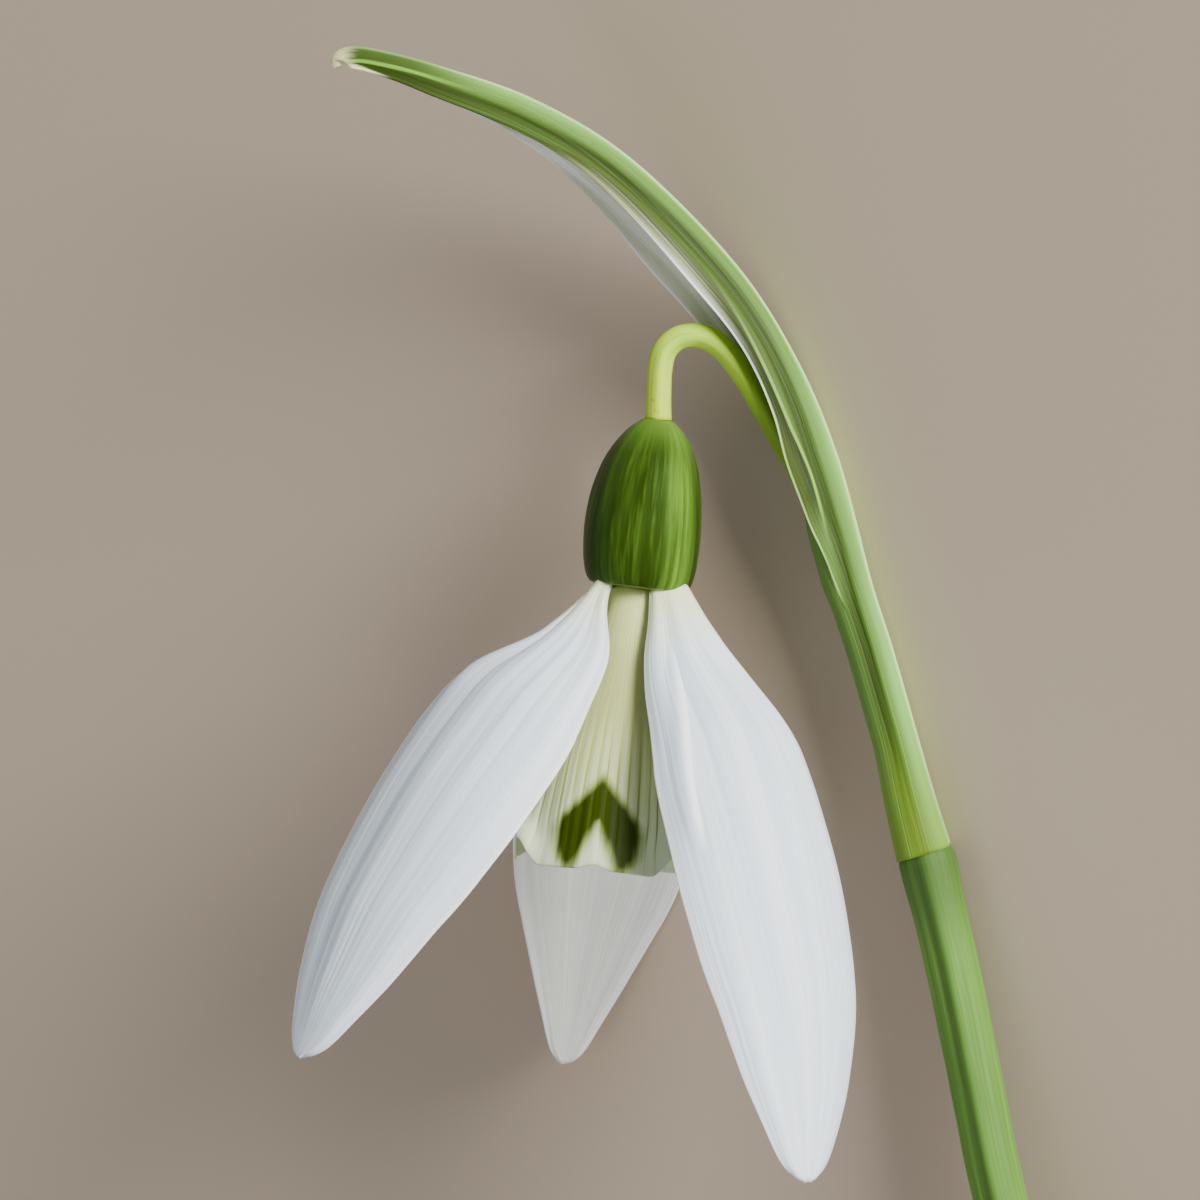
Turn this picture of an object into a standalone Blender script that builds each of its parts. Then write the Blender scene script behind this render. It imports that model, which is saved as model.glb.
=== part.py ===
"""A picked snowdrop flower, lying on its side, in metres with +Z up.

Everything is first shaped upright in the flower's own frame, in millimetres: its origin is where the
petals leave the ovary, X and Y span the plane that stem, spathe and flower share, and +Z leaves that
plane. One empty then lays the whole flower down, stem and hindmost petal on the surface.
"""
from bisect import bisect_right
from math import cos, pi, radians, sin

import bmesh
import bpy
from mathutils import Matrix, Vector

MM = 0.001

# lying down: the stem's line and the hindmost petal touch the surface
LAY_TURN = 16.84  # degrees from the flower's upright to the long side of the whole
LAY_LEAN = 35.17  # degrees that the flower's plane leans from level
LAY_PLACE = (3.0, 15.43, 5.92)  # where the flower's origin comes to lie

AXIS_TILT = 7.0  # degrees that the nodding flower hangs away from plumb
BLADE = 0.6  # thickness of petals
SEAT = 0.16  # gap left where two pieces touch
CURVE_STEPS = 24  # fine steps from one point of a route to the next
NUDGE = 0.01  # share of a petal's length between the two points that give its direction

# ovary, from where the petals leave it up to the pedicel: distance, radius
OVARY_PROFILE = ((0.0, 1.98), (0.6, 2.18), (1.9, 2.36), (3.4, 2.27), (4.9, 1.95), (6.0, 1.46),
                 (6.7, 0.93), (7.1, 0.55))
OVARY_RIBS = 6
OVARY_RIB_DEPTH = 0.05
OVARY_SIZE = (14, 30)

# routes in the flower's plane: x, y, z
SCAPE_ROUTE = ((11.95, -11.2, 0.0), (13.1, -15.7, 0.0), (14.05, -20.3, 0.0), (15.0, -25.0, 0.0),
               (16.4, -30.5, 0.0), (18.3, -37.0, 0.0), (20.8, -44.0, 0.0), (24.15, -51.0, 0.0))
SCAPE_RADIUS = 1.12
SCAPE_NODE_RADIUS = 1.2
SCAPE_NODE_SHARE = 0.08  # of the scape's length, over which the swollen node thins out
SCAPE_SIZE = (26, 14)  # rings, sides
PEDICEL_ROUTE = ((11.86, -10.98, 0.0), (10.42, -5.4, 0.0), (9.08, -0.6, 0.0), (8.2, 2.2, 0.0),
                 (7.2, 4.4, 0.0), (5.95, 6.4, 0.0), (4.9, 8.1, 0.0), (4.1, 9.35, 0.0), (3.3, 10.2, 0.0),
                 (2.2, 10.6, 0.0), (1.35, 10.2, 0.0), (0.98, 9.3, 0.0), (0.88, 8.2, 0.0), (0.87, 7.25, 0.0))
PEDICEL_SIZE = (46, 10)
PEDICEL_RADII = ((0.0, 0.38), (0.42, 0.38), (0.56, 0.5), (0.7, 0.56), (0.85, 0.54), (1.0, 0.5))

# spathe: the route of its outer keel, and by the share of its length how deep each margin lies below
# the keel, how far each side wraps round, in degrees, the half width across the plane and the wall
SPATHE_KEEL = ((13.05, -10.7, 0.0), (12.2, -8.0, 0.0), (10.65, -2.6, 0.0), (9.75, 0.25, 0.0),
               (8.35, 5.45, 0.0), (6.6, 9.6, 0.0), (4.0, 13.6, 0.0), (-0.3, 17.9, 0.0),
               (-4.3, 20.35, 0.0), (-8.4, 21.8, 0.0), (-12.6, 22.5, 0.0))
SPATHE_CLOSED = 0.228  # share of the length that is a closed tube
SPATHE_TUBE_WIDTH = ((0.0, 2.38), (0.05, 2.15), (0.11, 1.92), (0.228, 1.92))
SPATHE_SLIT = 120  # degrees from the keel to the slit
SPATHE_FRONT_DEPTH = ((0.228, 1.44), (0.27, 1.65), (0.32, 2.05), (0.37, 2.2), (0.42, 1.9), (0.48, 1.85),
                      (0.57, 2.0), (0.68, 1.84), (0.76, 1.45), (0.86, 1.25), (0.95, 0.92), (1.0, 0.75))
SPATHE_BACK_DEPTH = ((0.228, 1.44), (0.26, 2.05), (0.3, 2.3), (0.37, 2.3), (0.45, 2.45), (0.55, 2.7),
                     (0.6, 2.8), (0.68, 2.5), (0.76, 1.9), (0.86, 1.5), (0.95, 0.98), (1.0, 0.75))
SPATHE_FRONT_WRAP = ((0.228, 120), (0.3, 104), (0.4, 92), (1.0, 90))
SPATHE_BACK_WRAP = ((0.228, 240), (0.26, 175), (0.3, 142), (0.36, 118), (0.45, 100), (0.6, 90), (1.0, 90))
SPATHE_HALF_WIDTH = ((0.0, 1.18), (0.1, 0.98), (0.228, 0.97), (0.4, 1.2), (0.6, 1.3), (0.8, 1.05),
                     (0.93, 0.75), (1.0, 0.5))
SPATHE_WALL = ((0.0, 0.4), (0.228, 0.4), (0.35, 0.5), (0.9, 0.5), (1.0, 0.32))
SPATHE_STATIONS = 45
SPATHE_KEEL_POINTS = 401
SPATHE_BACK_STEPS = 8
SPATHE_FRONT_STEPS = 5

# petals: chord length, width along the arc, spread from the flower's axis, place round the axis,
# roll about the chord, more roll at the claw, outward bow, sideways bend
OUTER_TEPALS = {
    "outer_tepal_left": dict(length=23.7, width=8.8, spread=31.0, azimuth=-53.0, roll=-1.0, twist=-26.0,
                             bow=1.8, bend=0.1),
    "outer_tepal_right": dict(length=25.4, width=8.4, spread=27.3, azimuth=45.5, roll=12.0, twist=20.0,
                              bow=2.0, bend=0.2),
    "outer_tepal_back": dict(length=22.7, width=8.2, spread=25.0, azimuth=180.0, roll=2.0, twist=0.0,
                             bow=1.9, bend=0.0),
}
OUTER_SEAT_RADIUS = 1.8
OUTER_OUTLINE = ((0.0, 0.18), (0.05, 0.28), (0.1, 0.42), (0.18, 0.66), (0.27, 0.87), (0.38, 0.97), (0.5, 1.0),
                 (0.62, 0.96), (0.74, 0.84), (0.85, 0.64), (0.93, 0.41), (0.98, 0.2), (1.0, 0.07))
OUTER_BOW = ((0.0, 0.0), (0.1, 0.1), (0.3, 0.82), (0.5, 1.0), (0.7, 0.9), (0.85, 0.55), (1.0, 0.0))
OUTER_CUP = ((0.0, 26), (0.1, 34), (0.22, 44), (0.4, 47), (0.6, 42), (0.85, 34), (1.0, 20))
OUTER_STEPS = (20, 12)

INNER_TEPALS = {"inner_tepal_front": 2.0, "inner_tepal_left": -118.0, "inner_tepal_right": 122.0}
INNER_SEAT_RADIUS = 0.95
INNER_LENGTH = 11.7
INNER_SPREAD = 12.0
INNER_WIDTH = 6.5
INNER_OUTLINE = ((0.0, 0.25), (0.15, 0.36), (0.4, 0.68), (0.7, 0.92), (0.9, 1.0), (1.0, 0.98))
INNER_BOW = ((0.0, 0.0), (0.25, 0.05), (0.5, 0.35), (0.8, 0.25), (1.0, 0.0))
INNER_CUP = ((0.0, 52), (0.3, 54), (0.7, 55), (1.0, 50))
INNER_NOTCH = 0.55  # depth of the notch in the tip
NOTCH_HALF_WIDTH = 0.3  # share of the petal's half width
NOTCH_START = 0.85  # share of the length where the notch begins to pull the rows back
NOTCH_POWER = 1.5
INNER_STEPS = (10, 12)

STAMENS = 6
STAMEN_ROUTE = ((0.16, 0.42), (1.5, 0.72), (3.6, 0.74), (6.3, 0.46))  # distance down, distance from the axis
STAMEN_RADII = ((0.0, 0.13), (0.2, 0.13), (0.27, 0.27), (0.55, 0.3), (0.8, 0.2), (1.0, 0.07))
STAMEN_SIZE = (10, 7)
STYLE_SIZE = (7, 7)
STYLE_PROFILE = ((0.0, 0.18), (1.2, 0.16), (6.4, 0.16), (7.4, 0.1))

COLOURS = {  # base colour, roughness
    "petal_white": ((0.80, 0.84, 0.86), 0.5),
    "petal_cream": ((0.62, 0.64, 0.46), 0.5),
    "ovary_green": ((0.10, 0.20, 0.02), 0.35),
    "pedicel_green": ((0.45, 0.60, 0.16), 0.45),
    "stem_green": ((0.20, 0.33, 0.09), 0.5),
    "spathe_green": ((0.26, 0.40, 0.13), 0.5),
    "anther_orange": ((0.80, 0.42, 0.04), 0.6),
    "style_pale": ((0.62, 0.72, 0.40), 0.5),
}


def along(stops, t):
    """Smooth value at t through stops of (t, value), with no overshoot between them."""
    places = [stop[0] for stop in stops]
    i = min(max(bisect_right(places, t) - 1, 0), len(stops) - 2)
    slopes = [(b[1] - a[1]) / (b[0] - a[0]) for a, b in zip(stops, stops[1:])]

    def tangent(k):
        if k == 0:
            return slopes[0]
        if k == len(stops) - 1:
            return slopes[-1]
        if slopes[k - 1] * slopes[k] <= 0:
            return 0.0
        return 2 * slopes[k - 1] * slopes[k] / (slopes[k - 1] + slopes[k])

    span = stops[i + 1][0] - stops[i][0]
    u = min(max((t - stops[i][0]) / span, 0.0), 1.0)
    start, end = stops[i][1], stops[i + 1][1]
    lean_in, lean_out = tangent(i) * span, tangent(i + 1) * span
    return (start * (2 * u**3 - 3 * u**2 + 1) + lean_in * (u**3 - 2 * u**2 + u)
            + end * (3 * u**2 - 2 * u**3) + lean_out * (u**3 - u**2))


def even_points(route, count):
    """Points at even distances on the smooth curve through a route's points."""
    knots = [Vector(p) for p in route]
    knots = [2 * knots[0] - knots[1]] + knots + [2 * knots[-1] - knots[-2]]
    fine = []
    for a, b, c, d in zip(knots, knots[1:], knots[2:], knots[3:]):
        for k in range(CURVE_STEPS):
            u = k / CURVE_STEPS
            fine.append(0.5 * (2 * b + (c - a) * u + (2 * a - 5 * b + 4 * c - d) * u**2
                               + (3 * b - a - 3 * c + d) * u**3))
    fine.append(knots[-2])
    reached = [0.0]
    for p, q in zip(fine, fine[1:]):
        reached.append(reached[-1] + (q - p).length)
    points = []
    for k in range(count):
        want = reached[-1] * k / (count - 1)
        i = min(bisect_right(reached, want), len(fine) - 1)
        share = (want - reached[i - 1]) / (reached[i] - reached[i - 1])
        points.append(fine[i - 1].lerp(fine[i], share))
    return points


def tangents(points):
    """Unit direction of a line of points at each of them."""
    last = len(points) - 1
    return [(points[min(i + 1, last)] - points[max(i - 1, 0)]).normalized() for i in range(last + 1)]


def material(name):
    colour, roughness = COLOURS[name]
    made = bpy.data.materials.get(name) or bpy.data.materials.new(name)
    made.use_nodes = True
    shader = made.node_tree.nodes["Principled BSDF"]
    shader.inputs["Base Color"].default_value = (*colour, 1.0)
    shader.inputs["Roughness"].default_value = roughness
    shader.inputs["Metallic"].default_value = 0.0
    return made


def place_mesh(name, points, faces, slot):
    """A closed, outward, smooth shaded object from points in millimetres."""
    bm = bmesh.new()
    corners = [bm.verts.new(Vector(p) * MM) for p in points]
    for face in faces:
        bm.faces.new([corners[i] for i in face])
    bmesh.ops.delete(bm, geom=[corner for corner in corners if not corner.link_faces], context="VERTS")
    bmesh.ops.recalc_face_normals(bm, faces=bm.faces)
    if bm.calc_volume(signed=True) < 0:
        bmesh.ops.reverse_faces(bm, faces=bm.faces)
    mesh = bpy.data.meshes.new(name)
    bm.to_mesh(mesh)
    bm.free()
    mesh.shade_smooth()
    mesh.materials.append(material(slot))
    piece = bpy.data.objects.new(name, mesh)
    bpy.context.collection.objects.link(piece)
    piece.parent = bpy.data.objects["snowdrop"]
    return piece


def rings_to_solid(name, rings, slot):
    """Closed solid through rings of equally many points, with a fan over each end."""
    sides = len(rings[0])
    points = [p for ring in rings for p in ring]
    faces = []
    for i in range(len(rings) - 1):
        for k in range(sides):
            n = (k + 1) % sides
            faces.append((i * sides + k, i * sides + n, (i + 1) * sides + n, (i + 1) * sides + k))
    for i in (0, len(rings) - 1):
        points.append(sum((Vector(p) for p in rings[i]), Vector()) / sides)
        centre = len(points) - 1
        for k in range(sides):
            faces.append((i * sides + k, i * sides + (k + 1) % sides, centre))
    return place_mesh(name, points, faces, slot)


def stalk(name, route, radius, size, slot):
    """Round stalk along a route; radius is a function of the share of its length."""
    count, sides = size
    points = even_points(route, count)
    rings = []
    for i, (centre, ahead) in enumerate(zip(points, tangents(points))):
        across = ahead.cross(Vector((0, 0, 1))).normalized()
        reach = radius(i / (count - 1))
        angles = [2 * pi * k / sides for k in range(sides)]
        rings.append([centre + reach * (across * cos(a) + Vector((0, 0, sin(a)))) for a in angles])
    return rings_to_solid(name, rings, slot)


def flower_axes():
    """Down the flower's axis, sideways in its plane, and out of the plane."""
    tilt = radians(AXIS_TILT)
    return Vector((-sin(tilt), -cos(tilt), 0)), Vector((cos(tilt), -sin(tilt), 0)), Vector((0, 0, 1))


def turned(name, profile, start, ahead, size, slot, ribs=0, rib_depth=0.0):
    """Solid of revolution from (distance, radius) stops, with shallow lengthwise ribs if asked."""
    count, sides = size
    side = ahead.cross(Vector((0, 0, 1))).normalized()
    up = side.cross(ahead)
    rings = []
    for i in range(count):
        reached = profile[-1][0] * i / (count - 1)
        ring = []
        for k in range(sides):
            angle = 2 * pi * k / sides
            reach = along(profile, reached) * (1 + rib_depth * cos(ribs * angle) * sin(pi * i / (count - 1)))
            ring.append(start + ahead * reached + reach * (side * cos(angle) + up * sin(angle)))
        rings.append(ring)
    return rings_to_solid(name, rings, slot)


def blade(name, surface, steps, slot):
    """Closed blade of even thickness round a surface(t, s), split alike on both faces."""
    rows, columns = steps
    faces_out, faces_in = [], []
    for i in range(rows + 1):
        for k in range(columns + 1):
            t, s = i / rows, 2 * k / columns - 1
            lengthwise = surface(min(t + NUDGE, 1), s) - surface(max(t - NUDGE, 0), s)
            crosswise = surface(t, min(s + NUDGE, 1)) - surface(t, max(s - NUDGE, -1))
            normal = lengthwise.cross(crosswise).normalized()
            middle = surface(t, s)
            faces_out.append(middle + normal * BLADE / 2)
            faces_in.append(middle - normal * BLADE / 2)
    points = faces_out + faces_in
    below = len(faces_out)
    wide = columns + 1
    faces = []
    for i in range(rows):
        for k in range(columns):
            a, b, c, d = i * wide + k, i * wide + k + 1, (i + 1) * wide + k + 1, (i + 1) * wide + k
            if k * 2 < columns:
                halves = ((a, b, c), (a, c, d))
            else:
                halves = ((a, b, d), (b, c, d))
            for half in halves:
                faces.append(half)
                faces.append(tuple(below + n for n in reversed(half)))
    rim = list(range(wide))
    rim += [i * wide + columns for i in range(1, rows + 1)]
    rim += [rows * wide + k for k in range(columns - 1, -1, -1)]
    rim += [i * wide for i in range(rows - 1, 0, -1)]
    for m, n in zip(rim, rim[1:] + rim[:1]):
        faces.append((m, n, below + n))
        faces.append((m, below + n, below + m))
    return place_mesh(name, points, faces, slot)


def tepal_surface(length, width, spread, azimuth, roll, twist, bow, bend, seat, outline, bow_stops, cup,
                  notch=0.0):
    """Middle surface of a cupped petal: t runs from its claw to its tip, s from side to side."""
    down, side, out = flower_axes()
    away = out * cos(radians(azimuth)) + side * sin(radians(azimuth))
    around = side * cos(radians(azimuth)) - out * sin(radians(azimuth))
    chord = down * cos(radians(spread)) + away * sin(radians(spread))
    back = away * cos(radians(spread)) - down * sin(radians(spread))
    start = down * SEAT + away * seat

    def rib(t):
        return start + chord * length * t + back * bow * along(bow_stops, t) + around * bend * sin(pi * t)

    def surface(t, s):
        ahead = (rib(min(t + NUDGE, 1)) - rib(max(t - NUDGE, 0))).normalized()
        turn = Matrix.Rotation(radians(roll + twist * (1 - t) ** 2), 3, chord)
        across = turn @ around
        across = (across - ahead * across.dot(ahead)).normalized()
        normal = across.cross(ahead)
        if normal.dot(turn @ back) < 0:
            normal = -normal
        half_angle = radians(along(cup, t))
        curve = width / 2 * along(outline, t) / half_angle
        near_middle = max(0.0, 1 - (abs(s) / NOTCH_HALF_WIDTH) ** NOTCH_POWER)
        dip = notch * near_middle * max(0.0, (t - NOTCH_START) / (1 - NOTCH_START))
        return (rib(t) + across * curve * sin(half_angle * s) - normal * curve * (1 - cos(half_angle * s))
                - ahead * dip)

    return surface


def add_scape():
    def radius(t):
        return SCAPE_RADIUS + (SCAPE_NODE_RADIUS - SCAPE_RADIUS) * max(0.0, 1 - t / SCAPE_NODE_SHARE)

    stalk("scape", SCAPE_ROUTE, radius, SCAPE_SIZE, "stem_green")


def add_pedicel():
    stalk("pedicel", PEDICEL_ROUTE, lambda t: along(PEDICEL_RADII, t), PEDICEL_SIZE, "pedicel_green")


def add_ovary():
    down = flower_axes()[0]
    turned("ovary", OVARY_PROFILE, Vector(), -down, OVARY_SIZE, "ovary_green", OVARY_RIBS, OVARY_RIB_DEPTH)


def spathe_section(t, keel, ahead, wall):
    """Points round the spathe at t, from its far margin over the keel to its front margin."""
    inward = Vector((-ahead.y, ahead.x, 0))
    half = along(SPATHE_HALF_WIDTH, t) - wall
    ring = []
    for k in range(-SPATHE_BACK_STEPS, SPATHE_FRONT_STEPS + 1):
        steps, depths, wraps = ((SPATHE_BACK_STEPS, SPATHE_BACK_DEPTH, SPATHE_BACK_WRAP) if k < 0
                                else (SPATHE_FRONT_STEPS, SPATHE_FRONT_DEPTH, SPATHE_FRONT_WRAP))
        if t <= SPATHE_CLOSED:
            wrap = 360 - SPATHE_SLIT if k < 0 else SPATHE_SLIT
            radius = along(SPATHE_TUBE_WIDTH, t) / 2
        else:
            wrap = along(wraps, t)
            radius = along(depths, t) / (1 - cos(radians(wrap)))
        angle = radians(wrap) * k / steps
        depth = wall + (radius - wall) * (1 - cos(angle))
        ring.append(keel + inward * depth + Vector((0, 0, half * sin(angle))))
    return ring


def add_spathe():
    """Sheet bent round the keel: its two margins meet below the slit, and part above it."""
    closed = round(SPATHE_CLOSED * (SPATHE_STATIONS - 1))
    shares = [SPATHE_CLOSED * i / closed if i <= closed
              else SPATHE_CLOSED + (1 - SPATHE_CLOSED) * (i - closed) / (SPATHE_STATIONS - 1 - closed)
              for i in range(SPATHE_STATIONS)]
    fine = even_points(SPATHE_KEEL, SPATHE_KEEL_POINTS)
    headings = tangents(fine)
    sheets = []
    for with_wall in (False, True):
        for t in shares:
            spot = round(t * (SPATHE_KEEL_POINTS - 1))
            wall = along(SPATHE_WALL, t) if with_wall else 0.0
            sheets.append(spathe_section(t, fine[spot], headings[spot], wall))
    wide = SPATHE_BACK_STEPS + SPATHE_FRONT_STEPS + 1

    def corner(i, k, sheet):
        shared = 0 if i <= closed and k == wide - 1 else k
        return (sheet * SPATHE_STATIONS + i) * wide + shared

    faces = []
    last = SPATHE_STATIONS - 1
    for i in range(last):
        for k in range(wide - 1):
            for sheet in (0, 1):
                faces.append((corner(i, k, sheet), corner(i, k + 1, sheet),
                              corner(i + 1, k + 1, sheet), corner(i + 1, k, sheet)))
        if i >= closed:
            for k in (0, wide - 1):
                faces.append((corner(i, k, 0), corner(i + 1, k, 0), corner(i + 1, k, 1), corner(i, k, 1)))
    for i in (0, last):
        for k in range(wide - 1):
            faces.append((corner(i, k, 0), corner(i, k + 1, 0), corner(i, k + 1, 1), corner(i, k, 1)))
    place_mesh("spathe", [p for ring in sheets for p in ring], faces, "spathe_green")


def add_outer_tepals():
    for name, form in OUTER_TEPALS.items():
        surface = tepal_surface(seat=OUTER_SEAT_RADIUS, outline=OUTER_OUTLINE, bow_stops=OUTER_BOW,
                                cup=OUTER_CUP, **form)
        blade(name, surface, OUTER_STEPS, "petal_white")


def add_inner_tepals():
    for name, azimuth in INNER_TEPALS.items():
        surface = tepal_surface(length=INNER_LENGTH, width=INNER_WIDTH, spread=INNER_SPREAD, azimuth=azimuth,
                                roll=0.0, twist=0.0, bow=1.0, bend=0.0, seat=INNER_SEAT_RADIUS,
                                outline=INNER_OUTLINE, bow_stops=INNER_BOW, cup=INNER_CUP, notch=INNER_NOTCH)
        blade(name, surface, INNER_STEPS, "petal_cream")


def add_stamens_and_style():
    down, side, out = flower_axes()
    for n in range(STAMENS):
        angle = 2 * pi * (n + 0.5) / STAMENS
        away = side * cos(angle) + out * sin(angle)
        route = [down * below + away * apart for below, apart in STAMEN_ROUTE]
        stalk(f"stamen_{n + 1}", route, lambda t: along(STAMEN_RADII, t), STAMEN_SIZE, "anther_orange")
    turned("style", STYLE_PROFILE, down * SEAT, down, STYLE_SIZE, "style_pale")


def lay_down():
    """Turn and lean the upright flower until it lies on its stem and its hindmost petal."""
    turn, lean = radians(LAY_TURN), radians(LAY_LEAN)
    across = Vector((cos(turn), sin(turn), 0))
    long_side = Vector((-sin(turn), cos(turn), 0))
    sideways = across * cos(lean) + Vector((0, 0, sin(lean)))
    upward = Vector((0, 0, cos(lean))) - across * sin(lean)
    pose = Matrix((sideways, long_side, upward)).to_4x4()
    pose.translation = Vector(LAY_PLACE) * MM
    bpy.data.objects["snowdrop"].matrix_world = pose


def flatten_rest_spot():
    """Press the hindmost petal flat where its belly meets the surface."""
    petal = bpy.data.objects["outer_tepal_back"]
    into_petal = petal.matrix_world.inverted()
    bm = bmesh.new()
    bm.from_mesh(petal.data)
    upward = (into_petal.to_3x3() @ Vector((0, 0, 1))).normalized()
    cut = bmesh.ops.bisect_plane(bm, geom=bm.verts[:] + bm.edges[:] + bm.faces[:], dist=1e-7,
                                 plane_co=into_petal @ Vector(), plane_no=upward, clear_inner=True)
    rim = [item for item in cut["geom_cut"] if isinstance(item, bmesh.types.BMEdge)]
    bmesh.ops.contextual_create(bm, geom=rim)
    bmesh.ops.recalc_face_normals(bm, faces=bm.faces)
    bm.to_mesh(petal.data)
    bm.free()


def clear_scene():
    for old in list(bpy.data.objects):
        bpy.data.objects.remove(old, do_unlink=True)


def main():
    clear_scene()
    bpy.context.collection.objects.link(bpy.data.objects.new("snowdrop", None))
    add_scape()
    add_spathe()
    add_pedicel()
    add_ovary()
    add_outer_tepals()
    add_inner_tepals()
    add_stamens_and_style()
    lay_down()
    bpy.context.view_layer.update()
    flatten_rest_spot()


main()
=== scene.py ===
from bisect import bisect_right
from math import cos, exp, pi, radians, sin

import bpy
from mathutils import Matrix, Vector, noise


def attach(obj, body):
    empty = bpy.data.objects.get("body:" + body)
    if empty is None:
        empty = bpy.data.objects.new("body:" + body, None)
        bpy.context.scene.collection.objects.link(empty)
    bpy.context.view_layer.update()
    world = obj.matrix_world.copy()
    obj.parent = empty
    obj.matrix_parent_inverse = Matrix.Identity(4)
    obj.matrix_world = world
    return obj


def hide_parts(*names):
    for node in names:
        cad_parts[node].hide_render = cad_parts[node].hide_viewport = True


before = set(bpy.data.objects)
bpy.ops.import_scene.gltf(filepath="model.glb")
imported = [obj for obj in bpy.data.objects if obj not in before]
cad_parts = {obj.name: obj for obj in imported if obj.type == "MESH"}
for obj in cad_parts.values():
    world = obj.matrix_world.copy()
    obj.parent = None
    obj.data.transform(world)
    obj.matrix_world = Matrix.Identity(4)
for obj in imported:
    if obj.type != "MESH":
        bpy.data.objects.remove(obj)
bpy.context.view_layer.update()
print("snowdrop: frame loaded")

mm = 0.001
spanSteps = 24  # steps between two points of a route
weld = 1e-5  # mm, points closer than this become one

# how the picked flower lies: its plane leans up from the floor, and the scape, the spathe
# and the back tepal rest on it
lying = {
    "turn": 16.84,  # degrees from the flower's upright to the long side of the whole
    "lean": 35.17,  # degrees that its plane leans from level
    "place": (3.0, 15.43, 5.92),  # mm, where the tepals leave the ovary
    "axisTilt": 7.0,  # degrees that the nodding head hangs from plumb
}


def lyingPose():
    turn, lean = radians(lying["turn"]), radians(lying["lean"])
    across = Vector((cos(turn), sin(turn), 0))
    longSide = Vector((-sin(turn), cos(turn), 0))
    sideways = across * cos(lean) + Vector((0, 0, sin(lean)))
    upward = Vector((0, 0, cos(lean))) - across * sin(lean)
    pose = Matrix((sideways, longSide, upward)).to_4x4()
    pose.translation = Vector(lying["place"]) * mm
    return pose


flowerPose = lyingPose()
tilt = radians(lying["axisTilt"])
down = Vector((-sin(tilt), -cos(tilt), 0))  # along the head's axis, towards the tips
side = Vector((cos(tilt), -sin(tilt), 0))
out = Vector((0, 0, 1))  # out of the flower's plane


def smoothStops(stops, t):  # smooth value at t through stops of (t, value)
    places = [stop[0] for stop in stops]
    i = min(max(bisect_right(places, t) - 1, 0), len(stops) - 2)
    slopes = [(b[1] - a[1]) / (b[0] - a[0]) for a, b in zip(stops, stops[1:])]

    def slopeAt(k):
        if k == 0:
            return slopes[0]
        if k == len(stops) - 1:
            return slopes[-1]
        if slopes[k - 1] * slopes[k] <= 0:
            return 0.0
        return 2 * slopes[k - 1] * slopes[k] / (slopes[k - 1] + slopes[k])

    span = stops[i + 1][0] - stops[i][0]
    u = min(max((t - stops[i][0]) / span, 0.0), 1.0)
    start, end = stops[i][1], stops[i + 1][1]
    return (start * (2 * u**3 - 3 * u**2 + 1) + slopeAt(i) * span * (u**3 - 2 * u**2 + u)
            + end * (3 * u**2 - 2 * u**3) + slopeAt(i + 1) * span * (u**3 - u**2))


def routePoints(route, count):  # even steps along the smooth curve through a route
    knots = [Vector(p).to_3d() for p in route]
    knots = [2 * knots[0] - knots[1]] + knots + [2 * knots[-1] - knots[-2]]
    fine = []
    for a, b, c, d in zip(knots, knots[1:], knots[2:], knots[3:]):
        for k in range(spanSteps):
            u = k / spanSteps
            fine.append(0.5 * (2 * b + (c - a) * u + (2 * a - 5 * b + 4 * c - d) * u**2
                               + (3 * b - a - 3 * c + d) * u**3))
    fine.append(knots[-2])
    reached = [0.0]
    for p, q in zip(fine, fine[1:]):
        reached.append(reached[-1] + (q - p).length)
    points = []
    for k in range(count):
        want = reached[-1] * k / (count - 1)
        i = min(bisect_right(reached, want), len(fine) - 1)
        share = (want - reached[i - 1]) / (reached[i] - reached[i - 1])
        points.append(fine[i - 1].lerp(fine[i], share))
    return points


def headingsOf(points):
    last = len(points) - 1
    ahead = [points[min(i + 1, last)] - points[max(i - 1, 0)] for i in range(last + 1)]
    return [step.normalized() for step in ahead]


def ripple(a, b, seed):  # soft unevenness between -1 and 1
    return noise.noise(Vector((a, b, seed)))


def bump(value, width):  # 1 at nought, falling away over the width
    return exp(-(value / width) ** 2)


def risen(value, start, end):  # 0 before start, 1 after end, smooth between
    u = min(max((value - start) / (end - start), 0.0), 1.0)
    return u * u * (3 - 2 * u)


def pickOnly(obj):
    bpy.ops.object.select_all(action="DESELECT")
    obj.select_set(True)
    bpy.context.view_layer.objects.active = obj


def newSheet(name, columns, rows):  # flat sheet: x from side to side, y along, both from -1 to 1
    bpy.ops.object.select_all(action="DESELECT")
    bpy.ops.mesh.primitive_grid_add(x_subdivisions=columns, y_subdivisions=rows, size=2)
    sheet = bpy.context.object
    sheet.name = sheet.data.name = name
    return sheet


def sheetPlaces(sheet):  # each vertex, its place from side to side (-1 to 1) and along (0 to 1)
    for corner in sheet.data.vertices:
        yield corner, corner.co.x, (corner.co.y + 1) / 2


def bendSheet(sheet, place):
    for corner, s, t in sheetPlaces(sheet):
        corner.co = place(s, t)


def editFresh(obj, kind):  # into edit mode with nothing selected
    pickOnly(obj)
    bpy.ops.object.mode_set(mode="EDIT")
    bpy.ops.mesh.select_mode(type=kind)
    bpy.ops.mesh.select_all(action="DESELECT")


def tidyMesh(obj, merge=None):
    pickOnly(obj)
    bpy.ops.object.mode_set(mode="EDIT")
    bpy.ops.mesh.select_all(action="SELECT")
    if merge:
        bpy.ops.mesh.remove_doubles(threshold=merge)
    bpy.ops.mesh.normals_make_consistent(inside=False)
    bpy.ops.object.mode_set(mode="OBJECT")


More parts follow.
